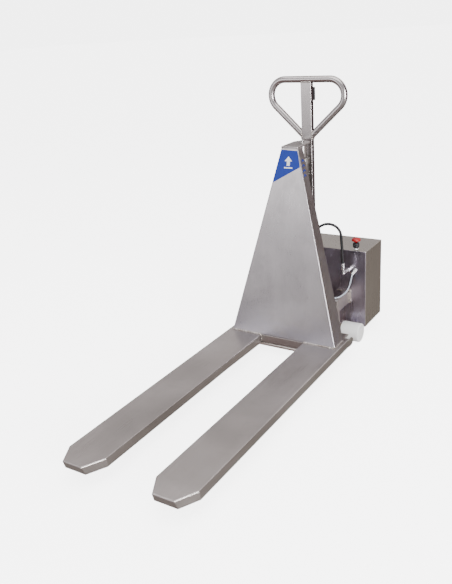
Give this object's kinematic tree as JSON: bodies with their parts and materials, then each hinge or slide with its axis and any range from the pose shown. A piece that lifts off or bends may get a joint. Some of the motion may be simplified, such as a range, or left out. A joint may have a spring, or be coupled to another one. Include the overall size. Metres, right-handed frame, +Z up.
{
  "type": "scissor lift pallet truck",
  "caption": "Stainless pallet truck with twin forks on a scissor linkage, a tapered mast with a hydraulic ram, an upright steering loop handle and a rear power box.",
  "frame": {"origin": "on the floor, at the centre of the footprint", "axes": "+Z up; +Y from the fork tips towards the power box; +X to the right seen from the fork tips"},
  "size_m": [0.54, 1.664, 1.168],
  "materials": {
    "fork_steel": "brushed stainless sheet, satin",
    "mast_steel": "brushed stainless sheet, satin",
    "box_steel": "brushed stainless sheet, darker reflections",
    "frame_steel": "mill-finish stainless plate",
    "handle_steel": "polished stainless tube and bar",
    "pin_steel": "turned stainless",
    "fitting_steel": "bright plated fitting",
    "ram_chrome": "ground and polished chrome",
    "cylinder_steel": "drawn tube",
    "nylon_white": "cast white nylon",
    "hose_rubber": "black rubber hose cover",
    "tube_plastic": "translucent grey-blue polyamide tube",
    "gland_plastic": "white plastic gland",
    "black_plastic": "black moulded plastic",
    "red_plastic": "red moulded plastic",
    "green_plastic": "green moulded plastic",
    "battery_case": "moulded battery case",
    "motor_paint": "black enamel",
    "tank_plastic": "natural polyethylene tank",
    "block_alu": "machined block",
    "bronze": "sintered bronze"
  },
  "bodies": {
    "chassis": {"side_rails": "frame_steel", "rear_cross_beam": "frame_steel", "portal_frame": "frame_steel", "head_plates": "frame_steel", "box_arms": "frame_steel", "cylinder_seat": "frame_steel", "leg_pivot_pins": "pin_steel", "steering_bush": "bronze", "hydraulic_cylinder": "cylinder_steel", "cylinder_gland": "cylinder_steel", "cylinder_port_fitting": "fitting_steel", "stabiliser_axles": "pin_steel", "power_box": "box_steel", "rear_cover": "box_steel", "cover_screws": "pin_steel", "arm_bolts": "pin_steel", "battery_pack": "battery_case", "pump_motor": "motor_paint", "valve_block": "block_alu", "oil_tank": "tank_plastic", "control_module": "black_plastic", "hose_elbow": "fitting_steel", "hose_ferrules": "fitting_steel", "hydraulic_hose": "hose_rubber", "tube_fittings": "gland_plastic", "return_tube": "tube_plastic", "stop_ring": "fitting_steel", "stop_collar": "black_plastic"},
    "emergency_stop": {"stop_button": "red_plastic"},
    "inner_legs": {"inner_leg_right": "frame_steel", "inner_leg_left": "frame_steel", "inner_cross_tube": "frame_steel", "inner_leg_pins": "pin_steel"},
    "outer_legs": {"outer_leg_right": "frame_steel", "outer_leg_left": "frame_steel", "load_roller_axles": "pin_steel"},
    "fork_frame": {"fork_right": "fork_steel", "fork_left": "fork_steel", "heel_lugs": "fork_steel", "heel_pins": "pin_steel", "heel_crossmember": "fork_steel", "mast_shell": "mast_steel", "mast_top_plate": "mast_steel", "lift_ram": "ram_chrome", "ram_screw": "pin_steel"},
    "load_wheel_right": {"load_roller_right": "nylon_white"},
    "load_wheel_left": {"load_roller_left": "nylon_white"},
    "track_wheel_right": {"track_roller_right": "nylon_white"},
    "track_wheel_left": {"track_roller_left": "nylon_white"},
    "steering": {"steering_stem": "frame_steel", "steer_axle": "pin_steel", "handle_post": "handle_steel", "handle_loop": "handle_steel", "switch_housing": "black_plastic"},
    "steer_wheel_right_body": {"steer_wheel_right": "nylon_white"},
    "steer_wheel_left_body": {"steer_wheel_left": "nylon_white"},
    "lift_switch": {"lift_button": "green_plastic"},
    "lower_switch": {"lower_button": "red_plastic"},
    "stabiliser_right": {"stabiliser_roller_right": "nylon_white"},
    "stabiliser_left": {"stabiliser_roller_left": "nylon_white"}
  },
  "joints": [
    {"name": "scissor_lift", "type": "hinge", "parent": "chassis", "child": "inner_legs", "pos_m": [0, 0.435, 0.04], "axis": [-1, 0, 0], "range_deg": [0, 37.2]},
    {"name": "outer_leg_fold", "type": "hinge", "parent": "inner_legs", "child": "outer_legs", "pos_m": [0, -0.11485, 0.053], "axis": [-1, 0, 0], "range_deg": [-74.4, 0]},
    {"name": "fork_level", "type": "hinge", "parent": "outer_legs", "child": "fork_frame", "pos_m": [0, 0.435, 0.066], "axis": [-1, 0, 0], "range_deg": [0, 37.2]},
    {"name": "load_roller_right_spin", "type": "hinge", "parent": "outer_legs", "child": "load_wheel_right", "pos_m": [0.188, -0.66469, 0.04], "axis": [1, 0, 0], "continuous": true},
    {"name": "load_roller_left_spin", "type": "hinge", "parent": "outer_legs", "child": "load_wheel_left", "pos_m": [-0.188, -0.66469, 0.04], "axis": [1, 0, 0], "continuous": true},
    {"name": "track_roller_right_spin", "type": "hinge", "parent": "inner_legs", "child": "track_wheel_right", "pos_m": [0.1205, -0.66469, 0.066], "axis": [1, 0, 0], "continuous": true},
    {"name": "track_roller_left_spin", "type": "hinge", "parent": "inner_legs", "child": "track_wheel_left", "pos_m": [-0.1205, -0.66469, 0.066], "axis": [1, 0, 0], "continuous": true},
    {"name": "steer", "type": "hinge", "parent": "chassis", "child": "steering", "pos_m": [0, 0.602, 0.2], "axis": [0, 0, 1], "range_deg": [-35, 35]},
    {"name": "steer_wheel_right_spin", "type": "hinge", "parent": "steering", "child": "steer_wheel_right_body", "pos_m": [0.038, 0.602, 0.05], "axis": [1, 0, 0], "continuous": true},
    {"name": "steer_wheel_left_spin", "type": "hinge", "parent": "steering", "child": "steer_wheel_left_body", "pos_m": [-0.038, 0.602, 0.05], "axis": [1, 0, 0], "continuous": true},
    {"name": "stabiliser_right_spin", "type": "hinge", "parent": "chassis", "child": "stabiliser_right", "pos_m": [0.214, 0.574, 0.0436], "axis": [1, 0, 0], "continuous": true},
    {"name": "stabiliser_left_spin", "type": "hinge", "parent": "chassis", "child": "stabiliser_left", "pos_m": [-0.214, 0.574, 0.0436], "axis": [1, 0, 0], "continuous": true},
    {"name": "emergency_stop_push", "type": "slide", "parent": "chassis", "child": "emergency_stop", "axis": [0, 0, -1], "range_m": [0, 0.005]},
    {"name": "lift_button_push", "type": "slide", "parent": "steering", "child": "lift_switch", "axis": [0, -1, 0], "range_m": [0, 0.003], "stiffness_N_per_m": 400},
    {"name": "lower_button_push", "type": "slide", "parent": "steering", "child": "lower_switch", "axis": [0, -1, 0], "range_m": [0, 0.003], "stiffness_N_per_m": 400}
  ],
  "couplings": [
    {"joint": "outer_leg_fold", "follows": "scissor_lift", "ratio": -2},
    {"joint": "fork_level", "follows": "scissor_lift", "ratio": 1}
  ]
}
